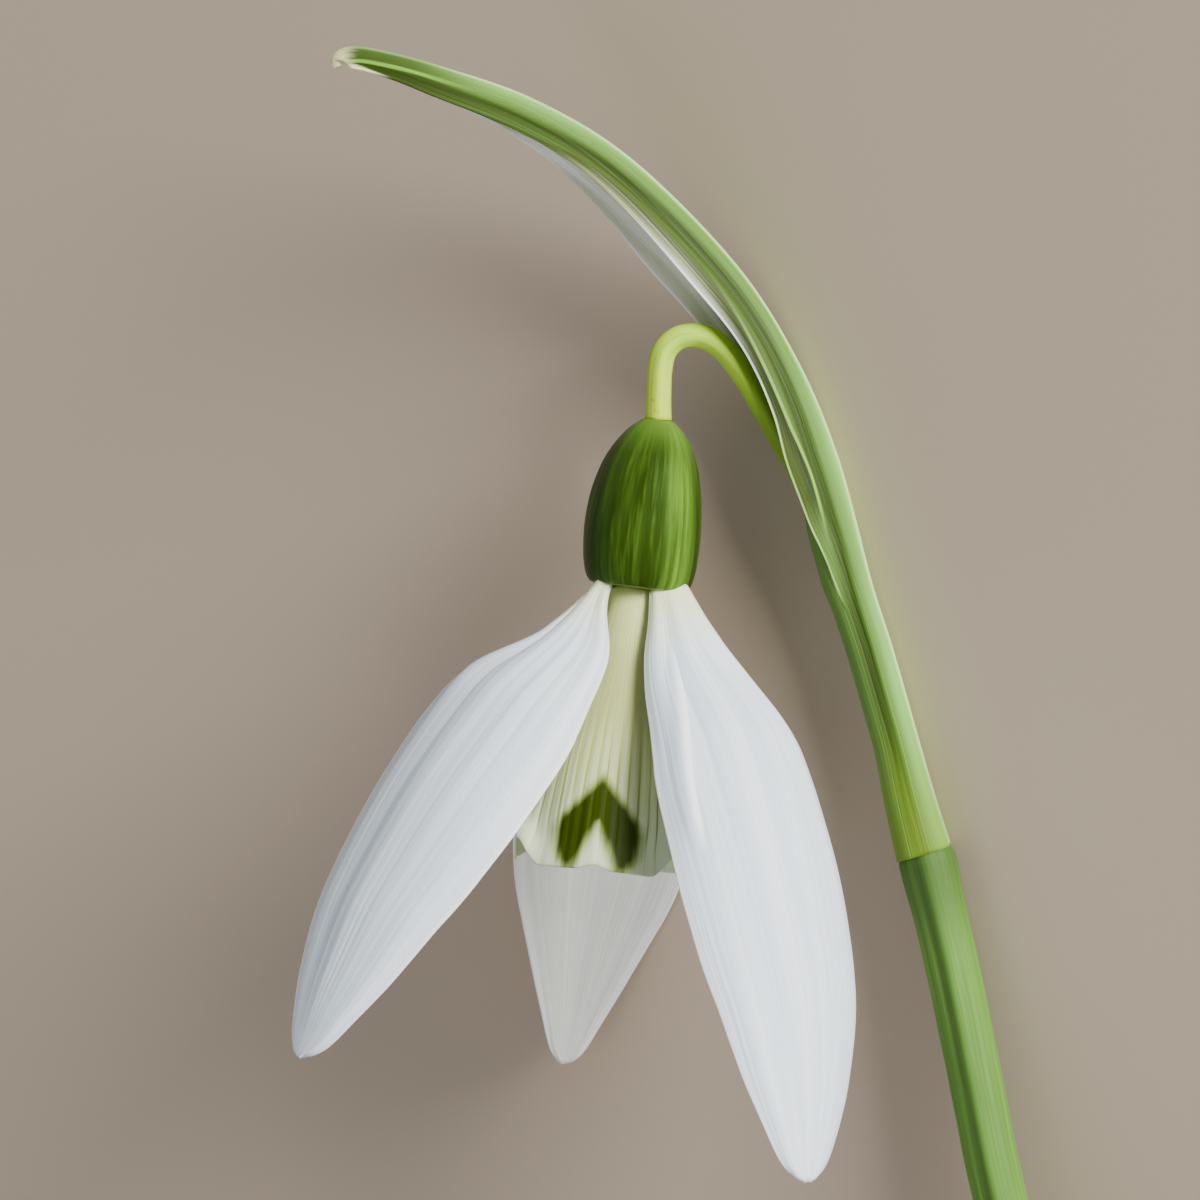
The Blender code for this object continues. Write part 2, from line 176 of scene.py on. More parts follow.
def thicken(sheet, form, offset):  # the back face takes the next finish
    wall = sheet.modifiers.new("wall", "SOLIDIFY")
    wall.thickness = form["wall"]
    wall.offset = offset
    wall.material_offset = 1
    wall.use_even_offset = False
    wall.vertex_group = "thick"
    wall.thickness_vertex_group = form["thinnest"]
    pickOnly(sheet)
    bpy.ops.object.modifier_apply(modifier=wall.name)
    tidyMesh(sheet)


def storeValues(obj, name, values):
    kept = obj.data.attributes.new(name, "FLOAT", "POINT")
    kept.data.foreach_set("value", values)


def layDown(obj, slot, *nodes):  # into its place in the lying flower, riding on the body
    obj.data.transform(flowerPose @ Matrix.Scale(mm, 4))
    for corner in obj.data.vertices:  # nothing sinks into the floor
        corner.co.z = max(corner.co.z, 0.0)
    obj.data.shade_smooth()
    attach(obj, "root")
    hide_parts(*nodes)


# finishes: small helpers for building node trees

def colour(red, green, blue):  # display values 0 to 255, to a linear colour
    def linear(value):
        value /= 255
        return value / 12.92 if value <= 0.04045 else ((value + 0.055) / 1.055) ** 2.4
    return (linear(red), linear(green), linear(blue), 1.0)


def newFinish(name, **sockets):
    finish = bpy.data.materials.new(name)
    finish.use_nodes = True
    shader = finish.node_tree.nodes["Principled BSDF"]
    for socket, value in sockets.items():
        shader.inputs[socket.replace("_", " ")].default_value = value
    return finish, finish.node_tree, shader


def addNode(tree, kind, inputs, **settings):
    node = tree.nodes.new(kind)
    for key, value in settings.items():
        setattr(node, key, value)
    for socket, value in inputs.items():
        if isinstance(value, bpy.types.NodeSocket):
            tree.links.new(value, node.inputs[socket])
        else:
            node.inputs[socket].default_value = value
    return node


def calc(tree, operation, first, second=0.0):
    return addNode(tree, "ShaderNodeMath", {0: first, 1: second}, operation=operation).outputs[0]


def times(tree, first, *others):
    for other in others:
        first = calc(tree, "MULTIPLY", first, other)
    return first


def plus(tree, first, second):
    return calc(tree, "ADD", first, second)


def gap(tree, value, place):  # how far a value lies from a place, whichever side
    return calc(tree, "ABSOLUTE", calc(tree, "SUBTRACT", value, place))


def fade(tree, value, start, end, low=0.0, high=1.0):
    stops = {0: value, 1: start, 2: end, 3: low, 4: high}
    return addNode(tree, "ShaderNodeMapRange", stops, interpolation_type="SMOOTHSTEP").outputs[0]


def mixed(tree, share, under, over):
    colours = {0: share, 6: under, 7: over}
    return addNode(tree, "ShaderNodeMix", colours, data_type="RGBA").outputs[2]


def stored(tree, name):
    return addNode(tree, "ShaderNodeAttribute", {}, attribute_name=name).outputs["Fac"]


def uvParts(tree):  # across and along
    uv = addNode(tree, "ShaderNodeUVMap", {}).outputs[0]
    apart = addNode(tree, "ShaderNodeSeparateXYZ", {0: uv})
    return apart.outputs[0], apart.outputs[1]


def streaks(tree, across, along, detail=3.0, seed=0.0):  # noise drawn out along the piece
    uv = addNode(tree, "ShaderNodeUVMap", {}).outputs[0]
    drawn = addNode(tree, "ShaderNodeMapping",
                    {"Vector": uv, "Location": (seed, seed, seed), "Scale": (across, along, 1.0)})
    pattern = {"Vector": drawn.outputs[0], "Scale": 1.0, "Detail": detail, "Roughness": 0.55}
    return addNode(tree, "ShaderNodeTexNoise", pattern).outputs[0]


def grain(tree, size, detail=2.0):  # noise of a size in mm, the same in every direction
    place = addNode(tree, "ShaderNodeTexCoord", {}).outputs["Object"]
    pattern = {"Vector": place, "Scale": 1 / (size * mm), "Detail": detail}
    return addNode(tree, "ShaderNodeTexNoise", pattern).outputs[0]


def paint(tree, shader, base):
    tree.links.new(base, shader.inputs["Base Color"])


def emboss(tree, shader, height, depth, strength=1.0):
    pressed = addNode(tree, "ShaderNodeBump",
                      {"Height": height, "Distance": depth * mm, "Strength": strength})
    tree.links.new(pressed.outputs[0], shader.inputs["Normal"])


# camera, floor and light

view = {
    "aim": (-1.583, -0.5),  # mm in the flower's plane, at the middle of the picture
    "distance": 250.0,
    "lens": 180.0,
    "sensor": 36.0,
    "clip": (0.01, 10.0),  # metres
}


def addCamera():
    bpy.ops.object.camera_add(location=(0, 0, 0))
    camera = bpy.context.object
    camera.name = "flowerCamera"
    camera.data.lens = view["lens"]
    camera.data.sensor_width = view["sensor"]
    camera.data.clip_start, camera.data.clip_end = view["clip"]
    spot = flowerPose @ Vector((view["aim"][0] * mm, view["aim"][1] * mm, view["distance"] * mm))
    camera.matrix_world = Matrix.Translation(spot) @ flowerPose.to_3x3().to_4x4()
    bpy.context.scene.camera = camera


studio = {
    "floorSize": 6.0,
    "floorColour": colour(188, 168, 145),
    "speckle": 9.0,  # blotches to a metre
    "speckleShade": 0.94,
    "sky": colour(222, 230, 240),
    "skyStrength": 0.42,
    "key": {"from": (0.94, 0.2, 0.22), "distance": 0.8, "size": 0.35, "power": 15.5},
    "fill": {"from": (-0.65, -0.45, 0.65), "distance": 0.9, "size": 1.0, "power": 3.2},
}


def addStudio():
    bpy.ops.object.select_all(action="DESELECT")
    bpy.ops.mesh.primitive_plane_add(size=studio["floorSize"], location=(0, 0, 0))
    floor = bpy.context.object
    floor.name = "paleFloor"
    finish, tree, shader = newFinish("paleFloor", Roughness=0.85)
    place = addNode(tree, "ShaderNodeTexCoord", {}).outputs["Object"]
    speckle = addNode(tree, "ShaderNodeTexNoise", {"Vector": place, "Scale": studio["speckle"]})
    base = studio["floorColour"]
    darker = tuple(studio["speckleShade"] * part for part in base[:3]) + (1.0,)
    paint(tree, shader, mixed(tree, speckle.outputs[0], darker, base))
    floor.data.materials.append(finish)

    for name in ("key", "fill"):
        lamp = studio[name]
        towards = Vector(lamp["from"]).normalized()
        bpy.ops.object.light_add(type="AREA", location=towards * lamp["distance"])
        light = bpy.context.object
        light.name = name + "Light"
        light.data.size = lamp["size"]
        light.data.energy = lamp["power"]
        light.rotation_mode = "QUATERNION"
        light.rotation_quaternion = towards.to_track_quat("Z", "Y")
    world = bpy.data.worlds.new("softSky")
    world.use_nodes = True
    backdrop = world.node_tree.nodes["Background"]
    backdrop.inputs["Color"].default_value = studio["sky"]
    backdrop.inputs["Strength"].default_value = studio["skyStrength"]
    bpy.context.scene.world = world


addCamera()
addStudio()
print("snowdrop: camera, floor and light")


# scape: the flower stalk below the node, softly angled, with a plain cut end

scape = {
    "route": ((11.93, -10.75), (13.1, -15.7), (14.05, -20.3), (15.0, -25.0), (16.4, -30.5),
              (18.3, -37.0), (20.8, -44.0), (24.15, -51.0)),
    "radius": ((0.0, 1.06), (0.008, 1.13), (0.014, 1.21), (0.03, 1.2), (0.08, 1.12), (1.0, 1.12)),
    "ribs": 0.022,  # mm, shallow lengthwise ribs
    "ribCount": 9,
    "uneven": 0.012,  # mm
    "cutRim": 0.06,  # mm, bruised rim of the cut
    "cutInset": 0.5,
    "cutDepth": 0.07,
    "stripeAt": 0.67,  # share of the way round
    "rings": 260,
    "sides": 72,
    "green": colour(98, 142, 54),
    "dark": colour(54, 76, 28),
    "pale": colour(132, 180, 82),
    "belowNode": colour(48, 68, 26),
    "pith": colour(186, 198, 140),
    "pithGreen": colour(150, 172, 104),
}


def tubeAround(name, points, sides, reach):  # closed round piece; reach(t, angle) is its radius
    rings = len(points)
    headings = headingsOf(points)
    tube = newSheet(name, sides, rings - 1)

    def place(x, t):
        i = min(round(t * (rings - 1)), rings - 1)
        ahead = headings[i]
        level = ahead.cross(out).normalized()
        angle = pi * x
        return points[i] + reach(i / (rings - 1), angle) * (level * cos(angle) + out * sin(angle))

    bendSheet(tube, place)
    tidyMesh(tube, merge=weld)
    editFresh(tube, "EDGE")
    bpy.ops.mesh.select_non_manifold()
    bpy.ops.mesh.fill_holes(sides=0)
    bpy.ops.mesh.select_all(action="SELECT")
    bpy.ops.mesh.normals_make_consistent(inside=False)
    bpy.ops.object.mode_set(mode="OBJECT")
    return tube


def scapeFinish():
    finish, tree, shader = newFinish(
        "scapeSkin", Roughness=0.55, Subsurface_Weight=0.12, Subsurface_Radius=(0.6, 1.0, 0.3),
        Subsurface_Scale=0.0003, Specular_IOR_Level=0.18)
    across, along = uvParts(tree)
    fine = streaks(tree, 42.0, 5.0, seed=3.1)
    broad = streaks(tree, 9.0, 3.0, seed=7.7)
    dusky = mixed(tree, 0.35, scape["green"], scape["dark"])
    base = mixed(tree, fade(tree, fine, 0.3, 0.7), scape["green"], dusky)
    base = mixed(tree, fade(tree, broad, 0.45, 0.75, 0.0, 0.35), base, scape["pale"])
    fromStripe = plus(tree, gap(tree, across, scape["stripeAt"]), times(tree, fine, 0.02))
    stripe = fade(tree, fromStripe, 0.018, 0.07, 1.0, 0.0)
    base = mixed(tree, times(tree, stripe, 0.85), base, scape["dark"])
    base = mixed(tree, fade(tree, along, 0.006, 0.13, 0.6, 0.0), base, scape["belowNode"])
    paint(tree, shader, base)
    emboss(tree, shader, fine, 0.05, 0.6)
    return finish


def cutFinish():
    finish, tree, shader = newFinish(
        "scapeCut", Roughness=0.6, Subsurface_Weight=0.2, Subsurface_Radius=(0.6, 1.0, 0.3),
        Subsurface_Scale=0.0006)
    cells = grain(tree, 0.18)
    patches = fade(tree, cells, 0.4, 0.65)
    paint(tree, shader, mixed(tree, patches, scape["pith"], scape["pithGreen"]))
    emboss(tree, shader, cells, 0.06, 0.7)
    return finish


def addScape():
    def reach(t, angle):
        ribs = scape["ribs"] * cos(scape["ribCount"] * angle)
        uneven = scape["uneven"] * ripple(30 * t, 3 * cos(angle), 2.0)
        return smoothStops(scape["radius"], t) + ribs + uneven

    points = routePoints(scape["route"], scape["rings"])
    stalk = tubeAround("scapeStalk", points, scape["sides"], reach)
    editFresh(stalk, "FACE")
    bpy.ops.object.mode_set(mode="OBJECT")
    for face in stalk.data.polygons:  # only the two ends have more than four corners
        face.select = len(face.vertices) > 4
    bpy.ops.object.mode_set(mode="EDIT")
    bpy.ops.mesh.inset(thickness=scape["cutRim"], depth=0.0)
    bpy.ops.mesh.inset(thickness=scape["cutInset"], depth=-scape["cutDepth"])
    bpy.ops.object.mode_set(mode="OBJECT")
    stalk.data.materials.append(scapeFinish())
    stalk.data.materials.append(cutFinish())
    for face in stalk.data.polygons:
        face.material_index = 1 if face.select else 0
    layDown(stalk, "stem", "scape")


addScape()
print("snowdrop: scape")


# pedicel: the fine arched stalk that carries the head

pedicel = {
    "route": ((11.86, -10.98), (10.42, -5.4), (9.05, -0.6), (7.98, 2.2), (6.95, 4.4), (5.9, 6.3),
              (5.25, 7.45), (4.45, 8.8), (3.75, 9.75), (3.1, 10.3), (2.4, 10.52), (1.65, 10.4),
              (1.12, 9.9), (0.92, 9.1), (0.88, 8.2), (0.84, 7.0)),
    "radius": ((0.0, 0.38), (0.42, 0.4), (0.56, 0.46), (0.7, 0.48), (0.85, 0.49), (0.96, 0.5),
               (1.0, 0.54)),
    "angled": 0.035,  # share of the radius, four soft edges
    "uneven": 0.02,
    "rings": 220,
    "sides": 40,
    "bright": colour(184, 224, 52),
    "pale": colour(192, 218, 52),
    "deep": colour(126, 158, 44),
    "freckle": colour(120, 108, 48),
}


def pedicelFinish():
    finish, tree, shader = newFinish(
        "pedicelSkin", Roughness=0.42, Subsurface_Weight=0.2, Subsurface_Radius=(0.7, 1.0, 0.25),
        Subsurface_Scale=0.0004, Specular_IOR_Level=0.25)
    along = uvParts(tree)[1]
    fine = streaks(tree, 20.0, 8.0, seed=1.4)
    base = mixed(tree, fade(tree, along, 0.62, 0.84), pedicel["deep"], pedicel["bright"])
    base = mixed(tree, fade(tree, along, 0.86, 0.97), base, pedicel["pale"])
    base = mixed(tree, fade(tree, fine, 0.42, 0.72, 0.0, 0.45), base, pedicel["deep"])
    specks = fade(tree, streaks(tree, 9.0, 60.0, seed=8.2), 0.6, 0.72)
    freckle = times(tree, specks, fade(tree, along, 0.93, 0.96), 0.6)
    base = mixed(tree, freckle, base, pedicel["freckle"])
    paint(tree, shader, base)
    emboss(tree, shader, fine, 0.04, 0.5)
    return finish


def addPedicel():
    def reach(t, angle):
        angled = pedicel["angled"] * cos(4 * angle)
        uneven = pedicel["uneven"] * ripple(14 * t, 2 * cos(angle), 5.0)
        return smoothStops(pedicel["radius"], t) * (1 + angled + uneven)

    points = routePoints(pedicel["route"], pedicel["rings"])
    arch = tubeAround("pedicelArch", points, pedicel["sides"], reach)
    arch.data.materials.append(pedicelFinish())
    layDown(arch, "pedicel", "pedicel")


addPedicel()
print("snowdrop: pedicel")


# ovary: the glossy green egg above the tepals, striped lengthwise

ovary = {
    "profile": ((0.0, 0.0), (0.0001, 1.84), (0.15, 2.1), (0.6, 2.28), (1.3, 2.37), (2.2, 2.4),
                (3.5, 2.31), (4.9, 2.03), (5.6, 1.77), (6.2, 1.44), (6.65, 1.1), (6.92, 0.8),
                (7.04, 0.62), (7.06, 0.3), (7.07, 0.0)),
    "ribs": 0.016,  # mm
    "ribCount": 12,
    "lobes": 0.04,  # mm
    "lobeCount": 6,
    "lean": 0.12,  # mm that its middle bulges to the left
    "rings": 110,
    "sides": 132,
    "dark": colour(38, 56, 12),
    "mid": colour(62, 90, 26),
    "light": colour(102, 140, 48),
    "rim": colour(128, 156, 54),
    # painted light: a lighter yellow-green band down the ovary's lit side
    "paintedLight": colour(120, 166, 56),
    "paintedLightAt": 0.635,  # share of the way round, on the sunnier side
    "gloss": colour(178, 244, 120),
}


def ovaryFinish():
    finish, tree, shader = newFinish(
        "ovarySkin", Roughness=0.38, Subsurface_Weight=0.2, Subsurface_Radius=(0.5, 1.0, 0.2),
        Subsurface_Scale=0.0005, Specular_IOR_Level=0.13, Specular_Tint=ovary["gloss"])
    across, along = uvParts(tree)
    broad = streaks(tree, 16.0, 1.2, seed=2.6)
    fine = streaks(tree, 52.0, 2.6, seed=9.3)
    base = mixed(tree, fade(tree, broad, 0.38, 0.66), ovary["dark"], ovary["mid"])
    base = mixed(tree, fade(tree, fine, 0.5, 0.78, 0.0, 0.4), base, ovary["light"])
    # painted light: lighter green down the side of the ovary that faces the light
    paintedLight = fade(tree, gap(tree, across, ovary["paintedLightAt"]), 0.0, 0.075, 0.6, 0.0)
    paintedLight = times(tree, paintedLight, fade(tree, fine, 0.35, 0.65, 0.35, 1.0))
    base = mixed(tree, paintedLight, base, ovary["paintedLight"])
    base = mixed(tree, fade(tree, along, 0.72, 0.98, 0.0, 0.75), base, ovary["light"])
    base = mixed(tree, fade(tree, along, 0.17, 0.2, 0.85, 0.0), base, ovary["rim"])
    paint(tree, shader, base)
    emboss(tree, shader, plus(tree, broad, fine), 0.05, 0.5)
    return finish


def addOvary():
    egg = newSheet("ovaryEgg", ovary["sides"], ovary["rings"])
    stops = ovary["profile"]
    lengths = [0.0]  # rows spread evenly over the outline, so that both ends stay round
    for a, b in zip(stops, stops[1:]):
        lengths.append(lengths[-1] + ((b[0] - a[0]) ** 2 + (b[1] - a[1]) ** 2) ** 0.5)

    def place(x, t):
        want = t * lengths[-1]
        i = min(max(bisect_right(lengths, want) - 1, 0), len(stops) - 2)
        part = (want - lengths[i]) / (lengths[i + 1] - lengths[i])
        height = stops[i][0] + (stops[i + 1][0] - stops[i][0]) * part
        if 0 < i < len(stops) - 2:
            reach = smoothStops(stops, height)
        else:  # the flat ends
            reach = stops[i][1] + (stops[i + 1][1] - stops[i][1]) * part
        angle = pi * x
        belly = sin(pi * min(height / stops[-1][0], 1))
        ribs = ovary["ribs"] * cos(ovary["ribCount"] * angle)
        reach += belly * (ribs + ovary["lobes"] * cos(ovary["lobeCount"] * angle))
        centre = -down * height - side * ovary["lean"] * belly
        return centre + reach * (side * cos(angle) + out * sin(angle))

    bendSheet(egg, place)
    tidyMesh(egg, merge=weld)
    egg.data.materials.append(ovaryFinish())
    layDown(egg, "ovary", "ovary")


addOvary()
print("snowdrop: ovary")


# spathe: the keeled sheath over the flower, a tube low down, then an open channel whose sides
# end in papery margins

spathe = {
    "keel": ((13.05, -10.7), (12.2, -8.0), (10.65, -2.6), (9.75, 0.25), (8.35, 5.45), (6.6, 9.6),
             (4.0, 13.6), (-0.3, 17.9), (-4.3, 20.35), (-8.4, 21.8), (-10.75, 22.42),
             (-11.9, 22.56), (-12.5, 22.4), (-12.8, 22.02), (-12.68, 21.62)),
    "closed": 0.228,  # share of the length that is a closed tube
    "slit": 120.0,  # degrees from the keel to the slit
    "tubeWidth": ((0.0, 2.38), (0.05, 2.15), (0.11, 1.92), (0.228, 1.92)),
    # by the share of the length: how deep each margin lies below the keel, and the degrees
    # that each side wraps
    "frontDepth": ((0.228, 1.44), (0.27, 1.65), (0.32, 2.05), (0.37, 2.2), (0.42, 1.98),
                   (0.48, 1.85), (0.57, 2.02), (0.68, 1.8), (0.75, 1.62), (0.82, 1.52),
                   (0.88, 1.33), (0.93, 1.08), (0.965, 0.95), (0.98, 0.8), (0.99, 0.58),
                   (1.0, 0.36)),
    "backDepth": ((0.228, 1.44), (0.26, 1.54), (0.3, 1.57), (0.325, 1.52), (0.345, 1.98),
                  (0.36, 2.03), (0.4, 2.1), (0.45, 2.35), (0.5, 2.6), (0.55, 2.76), (0.6, 2.8),
                  (0.68, 2.42), (0.76, 1.9), (0.815, 1.57), (0.86, 1.3), (0.9, 1.1), (0.93, 1.0),
                  (0.965, 0.9), (0.98, 0.77), (0.99, 0.56), (1.0, 0.34)),
    "frontWrap": ((0.228, 120), (0.3, 104), (0.4, 92), (1.0, 90)),
    "backWrap": ((0.228, 240), (0.325, 240), (0.345, 180), (0.36, 150), (0.4, 118), (0.45, 100),
                 (0.6, 90), (1.0, 90)),
    "halfWidth": ((0.0, 1.18), (0.1, 0.98), (0.228, 0.97), (0.4, 1.2), (0.6, 1.3), (0.8, 1.05),
                  (0.93, 0.75), (0.98, 0.48), (1.0, 0.14)),
    # how deep the dark groove and the inner limit of the green lie below the keel
    "groove": ((0.0, 1.25), (0.13, 1.2), (0.2, 1.12), (0.27, 1.0), (0.36, 1.08), (0.41, 1.0),
               (0.5, 0.78), (0.6, 0.82), (0.7, 0.95), (0.8, 1.08), (0.9, 1.0), (1.0, 0.7)),
    "greenTo": ((0.0, 3.0), (0.26, 2.0), (0.3, 1.36), (0.35, 1.32), (0.41, 1.48), (0.5, 1.32),
                (0.6, 1.15), (0.7, 1.16), (0.77, 1.38), (0.82, 1.58), (0.88, 1.8), (1.0, 1.6)),
    "veinDepth": 0.62,  # a pale vein that runs into the tip
    "grooveDepth": 0.13,
    "grooveWidth": 0.26,
    "ridge": 0.05,  # raised line between the keel and the groove
    "ridgeAt": 0.42,  # share of the groove's depth
    "ridgeWidth": 0.24,
    "hemWave": 0.07,
    "hemRipple": 0.05,
    "veins": 0.012,
    "farHem": 1.5,  # mm that the far side's hem is held back low down
    "farHemFrom": (0.37, 0.43),
    "noMargin": 9.0,  # mm, stands for the distance to a margin on the closed tube
    "tipFrom": (0.82, 0.92),
    "creamFrom": (0.975, 1.0),
    "rimEndInside": (0.92, 0.97),
    "rimEndOutside": (0.56, 0.7),
    "wall": 0.24,
    "thinnest": 0.0,  # share of the wall
    "keelSteps": 600,
    "columns": 132,
    "rows": 300,
    # pale line along the keel: partly its own pale colour, partly painted highlight
    "paleKeelAndHighlight": colour(196, 240, 150),
    "glaucous": colour(126, 182, 86),
    "green": colour(96, 136, 52),
    "dark": colour(48, 64, 8),
    "fold": colour(70, 86, 30),
    "foldDark": colour(44, 56, 12),
    "tube": colour(98, 132, 58),
    "foldLine": colour(142, 190, 76),
    "nodeGreen": colour(112, 140, 26),
    "vein": colour(128, 184, 60),
    "membrane": colour(156, 162, 112),
    "membraneDark": colour(108, 114, 66),
    # the pale inside: partly its own pale colour, partly painted light for light shining through
    # the thin wall into the shaded tube
    "lining": colour(250, 250, 238),
    "liningDark": colour(238, 236, 220),
    "liningGreen": colour(198, 206, 154),
    "rimGreen": colour(176, 212, 122),
    # whitish papery rim: partly its own colour, partly painted light for the glow through the
    # thin margin
    "rimWhite": colour(250, 253, 250),
    "cream": colour(232, 228, 168),
}


def spathePlace():
    steps = spathe["keelSteps"]
    keel = routePoints(spathe["keel"], steps + 1)
    headings = headingsOf(keel)

    def sectionAt(t, s):  # radius of the section and the angle from the keel
        front = s > 0
        if t <= spathe["closed"]:
            wrap = spathe["slit"] if front else 360 - spathe["slit"]
            radius = smoothStops(spathe["tubeWidth"], t) / 2
        else:
            wrap = smoothStops(spathe["frontWrap" if front else "backWrap"], t)
            depth = smoothStops(spathe["frontDepth" if front else "backDepth"], t)
            radius = depth / (1 - cos(radians(wrap)))
        return radius, radians(wrap) * s

    def place(s, t):
        spot = min(round(t * steps), steps)
        ahead = headings[spot]
        inward = Vector((-ahead.y, ahead.x, 0))
        radius, angle = sectionAt(t, s)
        half = smoothStops(spathe["halfWidth"], t)
        depth = radius * (1 - cos(angle))
        outwards = out * sin(angle) - inward * cos(angle)
        groove = smoothStops(spathe["groove"], t)
        pressed = bump(depth - groove, spathe["grooveWidth"]) * risen(t, 0.02, 0.12)
        fold = -spathe["grooveDepth"] * pressed
        fold += spathe["ridge"] * bump(depth - spathe["ridgeAt"] * groove, spathe["ridgeWidth"])
        hem = risen(depth - smoothStops(spathe["greenTo"], t), -0.05, 0.3) * risen(t, 0.4, 0.5)
        waved = spathe["hemWave"] * sin(9 * t + 7 * depth)
        fold += hem * (waved + spathe["hemRipple"] * ripple(7 * t, 3 * depth, 4.0))
        fold += spathe["veins"] * ripple(60 * angle / pi, 5 * t, 8.0)
        return keel[spot] + inward * depth + out * half * sin(angle) + outwards * fold

    return place, sectionAt


def spatheFinish(inside):
    finish, tree, shader = newFinish(
        "spatheInside" if inside else "spatheSkin", Roughness=0.55, Subsurface_Weight=0.12,
        Subsurface_Radius=(0.7, 1.0, 0.4), Subsurface_Scale=0.0003, Specular_IOR_Level=0.16)
    along = uvParts(tree)[1]
    depth = stored(tree, "depth")
    hem = stored(tree, "hem")
    margin = stored(tree, "margin")
    fine = streaks(tree, 70.0, 3.0, seed=4.4)
    broad = streaks(tree, 17.0, 2.0, seed=6.1)
    wobble = times(tree, calc(tree, "SUBTRACT", broad, 0.5), 0.2)

    # from the pale keel to the dark stripe, and the duller green beyond it
    past = plus(tree, stored(tree, "groove"), wobble)
    base = mixed(tree, fade(tree, past, -0.9, -0.46), spathe["glaucous"], spathe["green"])
    base = mixed(tree, fade(tree, fine, 0.52, 0.72, 0.0, 0.3), base, spathe["glaucous"])
    beyond = mixed(tree, fade(tree, along, 0.3, 0.5), spathe["tube"], spathe["fold"])
    beyond = mixed(tree, fade(tree, along, 0.56, 0.68, 0.0, 0.85), beyond, spathe["foldDark"])
    base = mixed(tree, fade(tree, past, 0.15, 0.5), base, beyond)
    stripe = times(tree, fade(tree, past, -0.46, -0.12), fade(tree, past, 0.12, 0.5, 1.0, 0.0),
                   fade(tree, fine, 0.35, 0.65, 1.0, 0.78))
    base = mixed(tree, stripe, base, spathe["dark"])
    veinLine = fade(tree, gap(tree, depth, spathe["veinDepth"]), 0.02, 0.1, 1.0, 0.0)
    nearTip = fade(tree, along, *spathe["tipFrom"])
    base = mixed(tree, times(tree, nearTip, 0.8), base, spathe["dark"])
    base = mixed(tree, times(tree, veinLine, nearTip), base, spathe["vein"])
    # pale line along the keel: partly the keel's own pale colour, partly a painted highlight
    # where the rounded edge faces the light
    keelLineAndHighlight = fade(tree, depth, 0.03, 0.19, 0.9, 0.0)
    keelLineAndHighlight = times(tree, keelLineAndHighlight, fade(tree, nearTip, 0.0, 1.0, 1.0, 0.4))
    base = mixed(tree, keelLineAndHighlight, base, spathe["paleKeelAndHighlight"])
    base = mixed(tree, fade(tree, along, 0.0, 0.16, 0.6, 0.0), base, spathe["nodeGreen"])
    # inside: a pale green lining, partly its own colour and partly painted light that lifts the
    # shade inside the tube
    if inside:
        base = mixed(tree, 0.85, base, spathe["liningGreen"])

    # the thin papery hem, olive low down and paler towards its rim
    if inside:
        # inside, the hem near white: partly its own colour, partly painted light shining through
        # the thin wall
        patches = fade(tree, broad, 0.35, 0.65)
        papery = mixed(tree, patches, spathe["lining"], spathe["liningDark"])
    else:
        patches = fade(tree, broad, 0.38, 0.62)
        papery = mixed(tree, patches, spathe["membrane"], spathe["membraneDark"])
        papery = mixed(tree, fade(tree, fine, 0.52, 0.74, 0.0, 0.55), papery, spathe["rimWhite"])
        papery = mixed(tree, fade(tree, hem, 0.1, 0.6), spathe["fold"], papery)
        # near the rim: partly its own whitish colour, partly painted light for the glow through
        # the thin margin
        nearRim = times(tree, fade(tree, margin, 0.1, 0.4, 0.3, 0.0),
                        fade(tree, along, 0.54, 0.66, 1.0, 0.0))
        papery = mixed(tree, nearRim, papery, spathe["rimWhite"])
    olive = mixed(tree, fade(tree, hem, 0.1, 0.55), spathe["foldDark"], spathe["fold"])
    hemColour = mixed(tree, fade(tree, along, 0.44, 0.6), olive, papery)
    hemShown = times(tree, fade(tree, plus(tree, hem, wobble), -0.04, 0.1),
                     fade(tree, along, 0.285, 0.34))
    base = mixed(tree, hemShown, base, hemColour)
    hemLine = times(tree, fade(tree, gap(tree, hem, 0.0), 0.02, 0.1, 0.85, 0.0),
                    fade(tree, along, 0.29, 0.34), fade(tree, along, 0.44, 0.58, 1.0, 0.0))
    base = mixed(tree, hemLine, base, spathe["foldLine"])
    rimEnd = spathe["rimEndInside" if inside else "rimEndOutside"]
    # pale rim along the margins: partly the papery edge's own colour, partly painted light for
    # the glow through the thin margin
    rim = times(tree, fade(tree, margin, 0.04, 0.13, 0.95, 0.0), fade(tree, along, 0.232, 0.25),
                fade(tree, along, *rimEnd, 1.0, 0.0))
    rimColour = mixed(tree, fade(tree, along, 0.36, 0.5), spathe["rimGreen"], spathe["rimWhite"])
    base = mixed(tree, rim, base, rimColour)

    # the cream tip reaches back furthest along the lower edge
    tipward = plus(tree, along, times(tree, broad, 0.03))
    tipward = plus(tree, tipward, fade(tree, margin, 0.0, 0.3, 0.035, 0.0))
    base = mixed(tree, fade(tree, tipward, *spathe["creamFrom"]), base, spathe["cream"])
    paint(tree, shader, base)
    emboss(tree, shader, plus(tree, fine, times(tree, broad, 0.5)), 0.06, 0.5)
    return finish


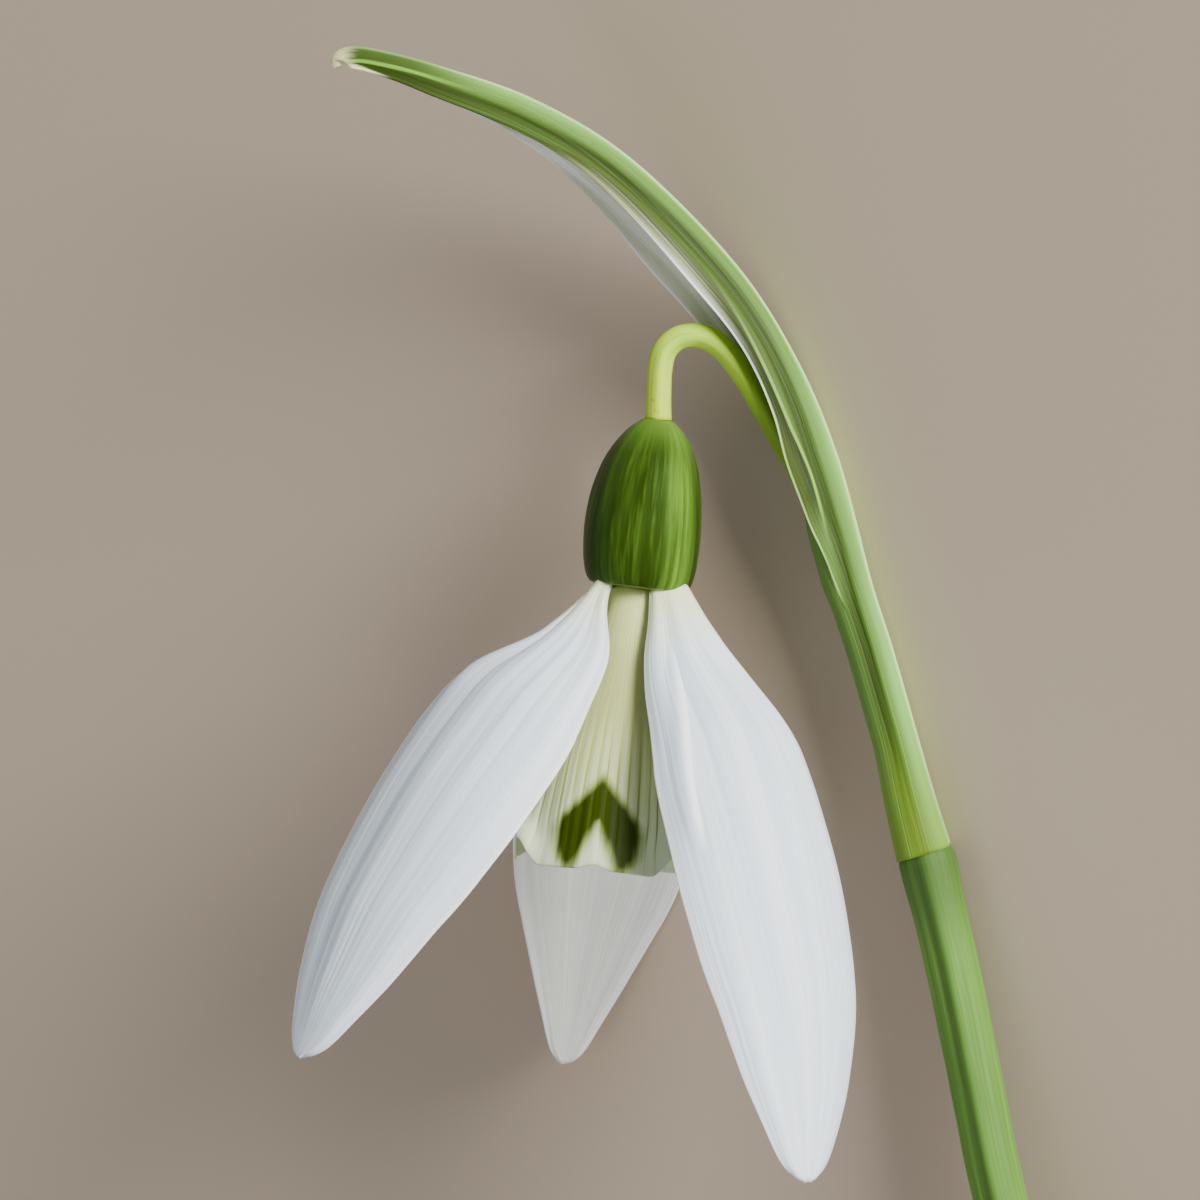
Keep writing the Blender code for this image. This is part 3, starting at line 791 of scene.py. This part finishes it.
def addSpathe():
    leaf = newSheet("spatheSheath", spathe["columns"], spathe["rows"])
    place, sectionAt = spathePlace()
    thick = leaf.vertex_groups.new(name="thick")
    kept = {"depth": [], "groove": [], "hem": [], "margin": []}
    for corner, s, t in sheetPlaces(leaf):
        radius, angle = sectionAt(t, s)
        depth = radius * (1 - cos(angle))
        toMargin = spathe["noMargin"]
        if t > spathe["closed"]:
            toMargin = radius * abs(sectionAt(t, 1.0 if s > 0 else -1.0)[1] - angle)
        heldBack = 1 - risen(t, *spathe["farHemFrom"]) if s < 0 else 0.0
        hem = depth - smoothStops(spathe["greenTo"], t) - spathe["farHem"] * heldBack
        measures = (depth, depth - smoothStops(spathe["groove"], t), hem, toMargin)
        for values, value in zip(kept.values(), measures):
            values.append(value)
        hemThinned = 1 - 0.7 * risen(hem, 0.0, 0.5) * risen(t, 0.3, 0.5)
        rimThinned = 0.4 + 0.6 * risen(toMargin, 0.0, 0.45)
        thick.add([corner.index], hemThinned * rimThinned, "REPLACE")
    for name, values in kept.items():
        storeValues(leaf, name, values)
    bendSheet(leaf, place)
    leaf.data.flip_normals()
    leaf.data.materials.append(spatheFinish(False))
    leaf.data.materials.append(spatheFinish(True))
    thicken(leaf, spathe, -1.0)
    layDown(leaf, "spathe", "spathe")


addSpathe()
print("snowdrop: spathe")


# outer tepals: three white spoon-shaped blades on narrow claws

outerTepals = {
    "blades": {  # size in mm, where each stands round the head and how it rolls, in degrees
        "outer_tepal_left": dict(length=24.0, width=9.05, spread=30.7, azimuth=-53.0, roll=-1.0,
                                 twist=-26.0, bow=1.78, bend=0.1, claw=0.45, slim=0.5, flat=0.36,
                                 seed=1.0),
        "outer_tepal_right": dict(length=25.8, width=8.5, spread=26.7, azimuth=45.5, roll=12.0,
                                  twist=20.0, bow=2.1, bend=0.2, seed=2.0),
        "outer_tepal_back": dict(length=23.35, width=8.5, spread=25.0, azimuth=183.0, roll=2.0,
                                 bow=1.9, bend=-0.3, claw=0.8, point=0.33, seed=3.0),
    },
    "seat": 1.78,
    "drop": -0.22,  # mm below the ovary's rim, here just above it
    "outline": ((0.0, 0.2), (0.05, 0.3), (0.1, 0.44), (0.18, 0.67), (0.27, 0.87), (0.38, 0.97),
                (0.5, 1.0), (0.62, 0.96), (0.74, 0.84), (0.85, 0.64), (0.93, 0.42), (0.975, 0.26),
                (0.993, 0.13), (1.0, 0.02)),
    "bowStops": ((0.0, 0.0), (0.1, 0.1), (0.3, 0.82), (0.5, 1.0), (0.7, 0.9), (0.85, 0.55),
                 (1.0, 0.0)),
    "cup": ((0.0, 30), (0.1, 36), (0.22, 44), (0.4, 47), (0.6, 42), (0.85, 34), (1.0, 20)),
    # lengthwise pleats: height in mm, how many across, how many along, added to the seed
    "pleats": ((0.12, 2.6, 0.7, 0), (0.03, 8.5, 1.1, 5), (0.014, 22, 2.0, 9)),
    "clawFolds": 0.07,  # mm
    "creaseHeight": 0.18,
    "creaseWidths": (0.13, 0.035),  # towards the margin and towards the middle
    "foldHeight": 0.16,
    "raggedTip": 0.04,
    "wall": 0.34,
    "thinnest": 0.3,  # share of the wall
    "columns": 110,
    "rows": 150,
    # the right blade's raised crease and the left blade's folded margin: side place by length
    "crease": ((0.08, -0.34), (0.17, -0.46), (0.28, -0.62), (0.4, -0.69), (0.5, -0.72)),
    "foldedMargin": ((0.0, -0.5), (0.06, -0.66), (0.2, -0.78), (0.35, -0.88)),
    "white": colour(232, 243, 252),
    "shade": colour(192, 208, 224),
    "claw": colour(228, 234, 176),
    # painted shade: brownish line along the fold of the left blade's margin
    "foldShade": colour(128, 108, 74),
    # painted highlight: the white of the bright line down the right blade's crease
    "creaseHighlight": colour(252, 254, 255),
    "rimWhite": colour(254, 255, 255),
    "rimFrom": 0.92,  # share of the half width
    # painted light: the back tepal's own copy of the white, warmer and with wider bright rims,
    # for the warm bounce light on it
    "bounceLit": colour(236, 236, 228),
    "bounceLitShade": colour(218, 217, 206),
    "bounceLitRimFrom": 0.83,
}


def bladeSheet(node, common):  # flat sheet for a tepal, named after its node
    kind, where = node.split("_tepal_")
    return newSheet(f"{kind}Tepal_{where}", common["columns"], common["rows"])


# a blade's own form may roll or twist it, narrow its claw or its point, and slim or flatten
# its left half
plainBlade = dict(roll=0.0, twist=0.0, claw=1.0, slim=0.0, flat=0.0, point=0.0)
clawEnd = 0.13  # share of the length
nudge = 0.01  # share of the length between a place and the two that give its heading


def tepalPlace(ownForm, common, relief):  # place(s, t): s from side to side, t along the blade
    form = {**plainBlade, **ownForm}
    azimuth, spread = radians(form["azimuth"]), radians(form["spread"])
    away = out * cos(azimuth) + side * sin(azimuth)
    around = side * cos(azimuth) - out * sin(azimuth)
    chord = down * cos(spread) + away * sin(spread)
    back = away * cos(spread) - down * sin(spread)
    start = down * common["drop"] + away * common["seat"]
    rows = {}

    def rib(t):
        bowed = back * form["bow"] * smoothStops(common["bowStops"], t)
        return start + chord * form["length"] * t + bowed + around * form["bend"] * sin(pi * t)

    def rowAt(t):
        if t not in rows:
            ahead = (rib(min(t + nudge, 1)) - rib(max(t - nudge, 0))).normalized()
            turn = Matrix.Rotation(radians(form["roll"] + form["twist"] * (1 - t) ** 2), 3, chord)
            across = turn @ around
            across = (across - ahead * across.dot(ahead)).normalized()
            normal = across.cross(ahead)
            if normal.dot(turn @ back) < 0:
                normal = -normal
            halfAngle = radians(smoothStops(common["cup"], t))
            claw = 1 - (1 - form["claw"]) * risen(clawEnd - t, 0.0, clawEnd)
            half = form["width"] / 2 * smoothStops(common["outline"], t) * claw
            half = half * sin(halfAngle) / halfAngle * (1 - form["point"] * risen(t, 0.5, 1.0))
            rows[t] = rib(t), ahead, across, normal, halfAngle, half
        return rows[t]

    def place(s, t):
        middle, ahead, across, normal, halfAngle, half = rowAt(t)
        if s < 0:
            halfAngle *= 1 - form["flat"]
        turned = halfAngle * s
        facing = normal * cos(turned) + across * sin(turned)
        slimmed = form["slim"] * risen(-s, 0.0, 0.5) * risen(0.25 - t, 0.0, 0.12)
        curve = half / sin(halfAngle) * (1 - slimmed)
        lifted, pulled = relief(s, t)
        cupped = middle + across * curve * sin(turned) - normal * curve * (1 - cos(turned))
        return cupped + facing * lifted - ahead * pulled

    return place


def outerRelief(node, seed):  # shallow lengthwise pleats, deeper folds near the claw
    def relief(s, t):
        body = risen(t, 0.0, 0.2) * risen(1 - t, 0.0, 0.22)
        lifted = body * sum(height * ripple(across * s, along * t, seed + more)
                            for height, across, along, more in outerTepals["pleats"])
        folds = outerTepals["clawFolds"] * cos(pi * s * 2.5)
        lifted += folds * bump(t - 0.14, 0.16) * risen(t, 0.0, 0.05)
        if node == "outer_tepal_right":
            beside = s - smoothStops(outerTepals["crease"], t)
            width = outerTepals["creaseWidths"][beside > 0]
            crease = outerTepals["creaseHeight"] * bump(beside, width)
            lifted += crease * risen(t, 0.08, 0.16) * risen(0.48 - t, 0.0, 0.1)
        if node == "outer_tepal_left":
            beyond = smoothStops(outerTepals["foldedMargin"], t) - s
            dropped = outerTepals["foldHeight"] * risen(beyond, -0.03, 0.05)
            lifted -= dropped * risen(0.4 - t, 0.0, 0.2)
        pulled = outerTepals["raggedTip"] * ripple(2.0 * s, 0.0, seed + 3) * risen(t, 0.9, 1.0)
        return lifted, pulled

    return relief


def petalFinish(name, white, shade, rimFrom):
    finish, tree, shader = newFinish(
        name, Roughness=0.5, Subsurface_Weight=0.3, Subsurface_Radius=(0.9, 1.0, 1.1),
        Subsurface_Scale=0.0007, Sheen_Weight=0.06, Sheen_Roughness=0.45, Specular_IOR_Level=0.35)
    across, along = uvParts(tree)
    broad = streaks(tree, 11.0, 0.9, detail=2.0, seed=1.9)
    fine = streaks(tree, 46.0, 1.6, detail=4.0, seed=5.2)
    base = mixed(tree, fade(tree, broad, 0.36, 0.66, 0.0, 0.45), white, shade)
    base = mixed(tree, fade(tree, fine, 0.54, 0.74, 0.0, 0.4), base, shade)
    aside = times(tree, gap(tree, across, 0.5), 2.0)
    rim = fade(tree, aside, rimFrom, rimFrom + 0.07, 0.0, 0.85)
    base = mixed(tree, rim, base, outerTepals["rimWhite"])
    # painted shade along the left blade's folded margin
    base = mixed(tree, times(tree, stored(tree, "foldLine"), 0.85), base, outerTepals["foldShade"])
    # painted highlight along the right blade's crease
    base = mixed(tree, stored(tree, "creaseHighlightLine"), base, outerTepals["creaseHighlight"])
    green = fade(tree, plus(tree, along, times(tree, fine, 0.05)), 0.03, 0.17, 0.9, 0.0)
    base = mixed(tree, green, base, outerTepals["claw"])
    paint(tree, shader, base)
    height = plus(tree, fine, times(tree, grain(tree, 0.09), 0.12))
    emboss(tree, shader, plus(tree, height, times(tree, broad, 0.6)), 0.07, 0.5)
    return finish


def addOuterTepals():
    skin = petalFinish("outerTepalWhite", outerTepals["white"], outerTepals["shade"],
                       outerTepals["rimFrom"])
    # painted light: the back tepal takes a warmer copy of the white, for the warm bounce light on
    # it
    bounceLit = petalFinish("outerTepalBounceLit", outerTepals["bounceLit"], outerTepals["bounceLitShade"],
                       outerTepals["bounceLitRimFrom"])
    for node, form in outerTepals["blades"].items():
        blade = bladeSheet(node, outerTepals)
        thick = blade.vertex_groups.new(name="thick")
        foldShades, bright = [], []
        for corner, s, t in sheetPlaces(blade):
            thick.add([corner.index], risen(1 - abs(s), 0.0, 0.3), "REPLACE")
            line = glint = 0.0
            # painted shade: a dark line where the left blade's margin folds over
            if node == "outer_tepal_left":
                beyond = smoothStops(outerTepals["foldedMargin"], t) - s
                line = bump(beyond, 0.04) * risen(0.36 - t, 0.0, 0.1)
            # painted highlight: a white line down the lit flank of the crease
            if node == "outer_tepal_right":
                beside = s - smoothStops(outerTepals["crease"], t)
                glint = bump(beside - 0.02, 0.03) * risen(t, 0.12, 0.2)
                glint *= risen(0.48 - t, 0.0, 0.08)
            foldShades.append(line)
            bright.append(glint)
        storeValues(blade, "foldLine", foldShades)
        storeValues(blade, "creaseHighlightLine", bright)
        bendSheet(blade, tepalPlace(form, outerTepals, outerRelief(node, form["seed"])))
        blade.data.materials.append(bounceLit if node == "outer_tepal_back" else skin)
        thicken(blade, outerTepals, 0.0)
        layDown(blade, "outer_petal", node)


addOuterTepals()
print("snowdrop: outer tepals")


# inner tepals: the short fluted cup, notched and marked with green

innerTepals = {
    "blades": {
        "inner_tepal_front": dict(azimuth=-7.0, bend=-0.1),
        "inner_tepal_left": dict(azimuth=-122.0, bend=0.0),
        "inner_tepal_right": dict(azimuth=118.0, bend=0.0),
    },
    "shape": dict(length=12.0, width=6.7, spread=12.0, bow=1.0),
    "seat": 0.95,
    "drop": 0.02,
    "outline": ((0.0, 0.3), (0.15, 0.38), (0.4, 0.68), (0.7, 0.92), (0.9, 1.0), (1.0, 1.0)),
    "bowStops": ((0.0, 0.0), (0.25, 0.05), (0.5, 0.35), (0.8, 0.25), (1.0, 0.0)),
    "cup": ((0.0, 52), (0.3, 54), (0.7, 55), (1.0, 50)),
    "flutes": 14,
    "fluteDepth": 0.014,  # mm, as are the next five
    "flare": 0.3,
    "rimWave": 0.1,
    "curledSides": 0.28,
    "notchDepth": 0.2,
    "cornerDepth": 1.1,  # how far the outer corners draw back
    "notchWidth": 0.2,  # share of the half width
    "wall": 0.26,
    "thinnest": 0.35,  # share of the wall
    "columns": 120,
    "rows": 110,
    # the green mark: half widths in mm by the distance below its peak, to the outside and to
    # the inside of its legs
    "markTop": 8.15,
    "markLength": 3.85,
    "markOuter": ((-0.6, -0.5), (0.0, 0.02), (0.45, 0.38), (0.9, 0.76), (1.4, 1.22), (1.9, 1.64),
                  (2.4, 1.76), (3.0, 1.68), (3.5, 1.45), (3.9, 1.1)),
    "markInner": ((0.0, -2.0), (1.65, -0.3), (1.85, -0.02), (2.3, 0.22), (2.8, 0.44), (3.3, 0.64),
                  (3.9, 0.86)),
    "cream": colour(206, 212, 142),
    "shaded": colour(156, 160, 96),
    "white": colour(214, 226, 186),
    "olive": colour(118, 124, 66),
    "mark": colour(58, 74, 3),
    "markDark": colour(44, 56, 2),
    "fringe": colour(126, 146, 40),
    "stripe": colour(92, 122, 36),
}


def innerRelief(s, t):
    uneven = s + 0.05 * ripple(3 * s, 1.0, 6.0)
    flutes = innerTepals["fluteDepth"] * cos(2 * pi * innerTepals["flutes"] * (uneven + 1) / 2)
    lifted = flutes * risen(t, 0.35, 0.6) * (1 - 0.5 * risen(t, 0.85, 1.0))
    waved = innerTepals["rimWave"] * sin(5.2 * s + 1.0) * risen(t, 0.8, 1.0)
    lifted += innerTepals["flare"] * risen(t, 0.84, 1.0) ** 2 + waved
    lifted += innerTepals["curledSides"] * risen(abs(s), 0.72, 1.0) * risen(t, 0.5, 0.95)
    cut = max(0.0, 1 - (abs(s) / innerTepals["notchWidth"]) ** 1.4)
    notch = innerTepals["notchDepth"] * cut * risen(t, 0.82, 1.0)
    corners = innerTepals["cornerDepth"] * risen(abs(s), 0.66, 1.0) ** 1.5 * risen(t, 0.7, 1.0)
    return lifted, notch + corners


def innerFinish(inside):
    name = "innerTepalInside" if inside else "innerTepalSkin"
    finish, tree, shader = newFinish(
        name, Roughness=0.48, Subsurface_Weight=0.3, Subsurface_Radius=(0.9, 1.0, 0.8),
        Subsurface_Scale=0.0003, Specular_IOR_Level=0.08)
    across, along = uvParts(tree)
    fine = streaks(tree, 50.0, 1.6, seed=2.2)
    broad = streaks(tree, 12.0, 1.2, seed=6.6)
    base = mixed(tree, fade(tree, along, 0.6, 0.95), innerTepals["cream"], innerTepals["white"])
    # painted shade: the middle of the cup darker, where the outer tepals shade it
    middle = fade(tree, gap(tree, along, 0.38), 0.05, 0.3, 0.55, 0.0)
    base = mixed(tree, middle, base, innerTepals["shaded"])
    base = mixed(tree, fade(tree, fine, 0.5, 0.75, 0.0, 0.28), base, innerTepals["shaded"])
    uneven = plus(tree, across, times(tree, broad, 0.03))
    waves = calc(tree, "COSINE", times(tree, uneven, 2 * pi * innerTepals["flutes"]))
    lower = fade(tree, along, 0.4, 0.62)
    ridges = times(tree, fade(tree, waves, 0.3, 0.95, 0.0, 0.55), lower)
    base = mixed(tree, ridges, base, innerTepals["white"])
    veins = times(tree, fade(tree, waves, -0.6, -0.98, 0.0, 0.75), fade(tree, along, 0.4, 0.72),
                  fade(tree, broad, 0.3, 0.6, 0.45, 1.0), fade(tree, along, 0.82, 0.97, 1.0, 0.2))
    base = mixed(tree, veins, base, innerTepals["olive"])
    if inside:
        stripes = times(tree, fade(tree, waves, -0.5, 0.5), fade(tree, along, 0.2, 0.45),
                        fade(tree, along, 0.78, 0.9, 1.0, 0.0), 0.7)
        base = mixed(tree, stripes, base, innerTepals["stripe"])
    else:
        ragged = calc(tree, "SUBTRACT", streaks(tree, 30.0, 6.0, seed=7.3), 0.5)
        inMark = plus(tree, stored(tree, "mark"), times(tree, ragged, 0.35))
        base = mixed(tree, fade(tree, inMark, -0.42, 0.05, 0.0, 0.8), base, innerTepals["fringe"])
        veined = fade(tree, fine, 0.3, 0.75)
        green = mixed(tree, veined, innerTepals["markDark"], innerTepals["mark"])
        base = mixed(tree, fade(tree, inMark, -0.16, 0.26), base, green)
    paint(tree, shader, base)
    emboss(tree, shader, plus(tree, fine, times(tree, waves, lower, 0.22)), 0.05, 0.5)
    return finish


def addInnerTepals():
    outside, inside = innerFinish(False), innerFinish(True)
    shape = innerTepals["shape"]
    for node, turn in innerTepals["blades"].items():
        blade = bladeSheet(node, innerTepals)
        thick = blade.vertex_groups.new(name="thick")
        marks = []
        for corner, s, t in sheetPlaces(blade):
            thinned = min(risen(1 - abs(s), 0.0, 0.2), risen(1 - t, 0.0, 0.15))
            thick.add([corner.index], thinned, "REPLACE")
            below = t * shape["length"] - innerTepals["markTop"]
            aside = abs(s) * shape["width"] / 2 * smoothStops(innerTepals["outline"], t)
            marks.append(min(smoothStops(innerTepals["markOuter"], below) - aside,
                             aside - smoothStops(innerTepals["markInner"], below),
                             innerTepals["markLength"] - below))
        storeValues(blade, "mark", marks)
        bendSheet(blade, tepalPlace({**shape, **turn}, innerTepals, innerRelief))
        blade.data.flip_normals()
        blade.data.materials.append(outside)
        blade.data.materials.append(inside)
        thicken(blade, innerTepals, 0.0)
        layDown(blade, "inner_petal", node)


addInnerTepals()
print("snowdrop: inner tepals")


# stamens and style: six slender orange anthers on pale threads round one pale style

stamens = {
    "count": 6,
    "route": ((0.1, 0.40), (1.5, 0.72), (3.6, 0.74), (6.3, 0.46)),  # mm down the axis, mm from it
    "radius": ((0.0, 0.1), (0.2, 0.09), (0.24, 0.2), (0.32, 0.28), (0.55, 0.3), (0.8, 0.19),
               (0.95, 0.08), (1.0, 0.03)),
    "slits": 0.14,  # share of the anther's radius
    "rings": 70,
    "sides": 24,
    "pollen": colour(226, 158, 40),
    "pollenLight": colour(240, 192, 84),
    "thread": colour(232, 238, 208),
}


def stamenFinish():
    finish, tree, shader = newFinish("antherOrange", Roughness=0.6)
    along = uvParts(tree)[1]
    dust = grain(tree, 0.05, detail=3.0)
    pollen = mixed(tree, fade(tree, dust, 0.4, 0.65), stamens["pollen"], stamens["pollenLight"])
    base = mixed(tree, fade(tree, along, 0.2, 0.25), stamens["thread"], pollen)
    paint(tree, shader, base)
    emboss(tree, shader, dust, 0.03, 0.6)
    return finish


def addStamens():
    finish = stamenFinish()

    def reach(t, angle):
        slits = stamens["slits"] * bump(cos(2 * angle), 0.3)
        slits *= risen(t, 0.22, 0.32) * risen(1 - t, 0.0, 0.1)
        return smoothStops(stamens["radius"], t) * (1 - slits)

    for n in range(stamens["count"]):
        angle = 2 * pi * (n + 0.5) / stamens["count"]
        away = side * cos(angle) + out * sin(angle)
        route = [down * below + away * apart for below, apart in stamens["route"]]
        points = routePoints(route, stamens["rings"])
        stamen = tubeAround(f"stamen_{n + 1}_anther", points, stamens["sides"], reach)
        stamen.data.materials.append(finish)
        layDown(stamen, "anther", f"stamen_{n + 1}")


style = {
    "length": 7.4,
    "radius": ((0.0, 0.2), (0.15, 0.17), (0.85, 0.15), (0.94, 0.13), (1.0, 0.06)),
    "top": 0.05,  # mm below the ovary
    "rings": 40,
    "sides": 20,
    "pale": colour(228, 234, 200),
    "green": colour(206, 220, 160),
}


def addStyle():
    finish, tree, shader = newFinish(
        "stylePale", Roughness=0.5, Subsurface_Weight=0.2, Subsurface_Radius=(0.8, 1.0, 0.5),
        Subsurface_Scale=0.0005)
    fine = streaks(tree, 12.0, 6.0, seed=3.0)
    paint(tree, shader, mixed(tree, fine, style["green"], style["pale"]))
    last = style["rings"] - 1
    points = [down * (style["top"] + style["length"] * i / last) for i in range(style["rings"])]

    def reach(t, angle):
        return smoothStops(style["radius"], t) * (1 + 0.05 * cos(3 * angle))

    thread = tubeAround("styleThread", points, style["sides"], reach)
    thread.data.materials.append(finish)
    layDown(thread, "style", "style")


addStamens()
addStyle()
print("snowdrop: stamens and style")
